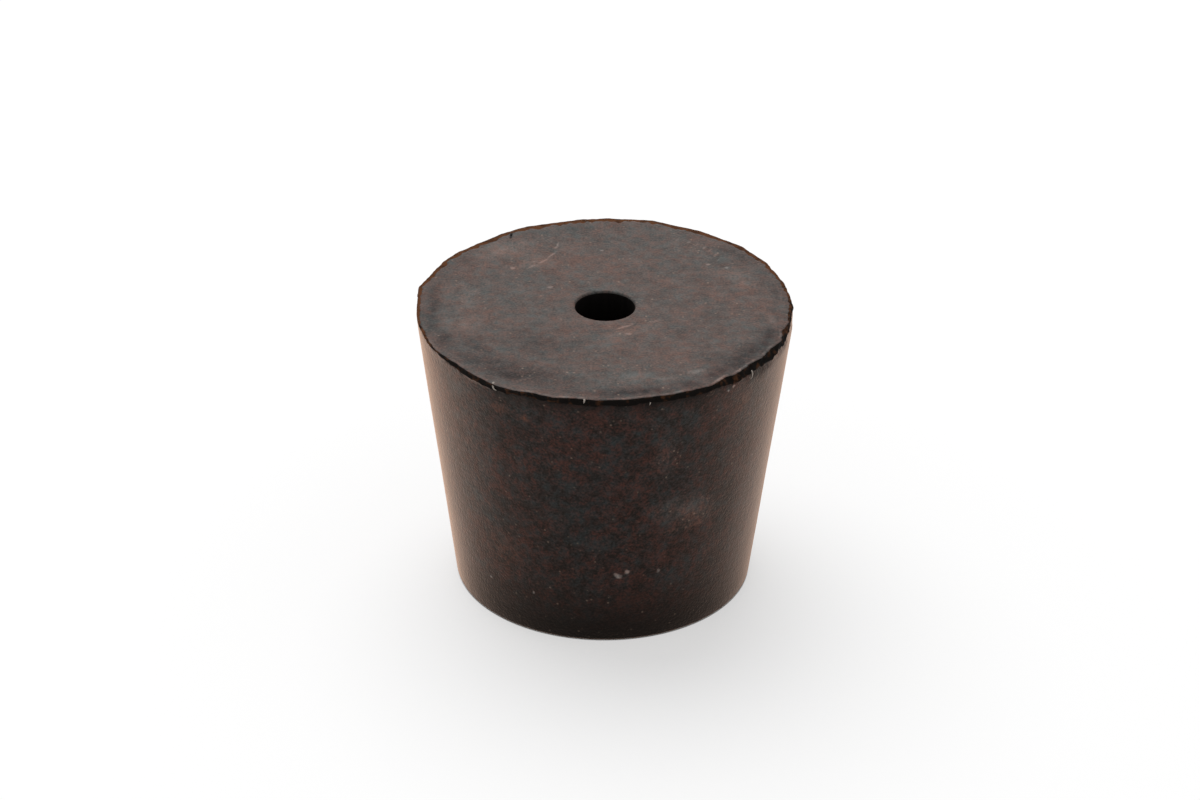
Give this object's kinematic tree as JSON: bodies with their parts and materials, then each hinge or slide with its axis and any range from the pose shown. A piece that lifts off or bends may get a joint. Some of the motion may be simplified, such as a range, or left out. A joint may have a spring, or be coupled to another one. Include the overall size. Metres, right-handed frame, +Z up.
{
  "type": "rubber stopper",
  "caption": "Tapered round rubber stopper with a straight hole along its axis for a tube; the narrow end plugs a flask or bottle neck and the wide rim is trimmed by knife.",
  "frame": {"origin": "middle of the narrow end, which is the face the stopper stands on", "axes": "+Z up along the hole's axis from the narrow end to the wide end; +X to the right and -Y towards the camera of the picture"},
  "size_m": [0.0318, 0.032, 0.0254],
  "materials": {
    "rubber": "compression-moulded black rubber, matte, with a grey-brown bloom and dust on the wide end and freshly cut black rubber round the rim"
  },
  "bodies": {
    "root": {"stopper": "rubber"}
  },
  "joints": []
}
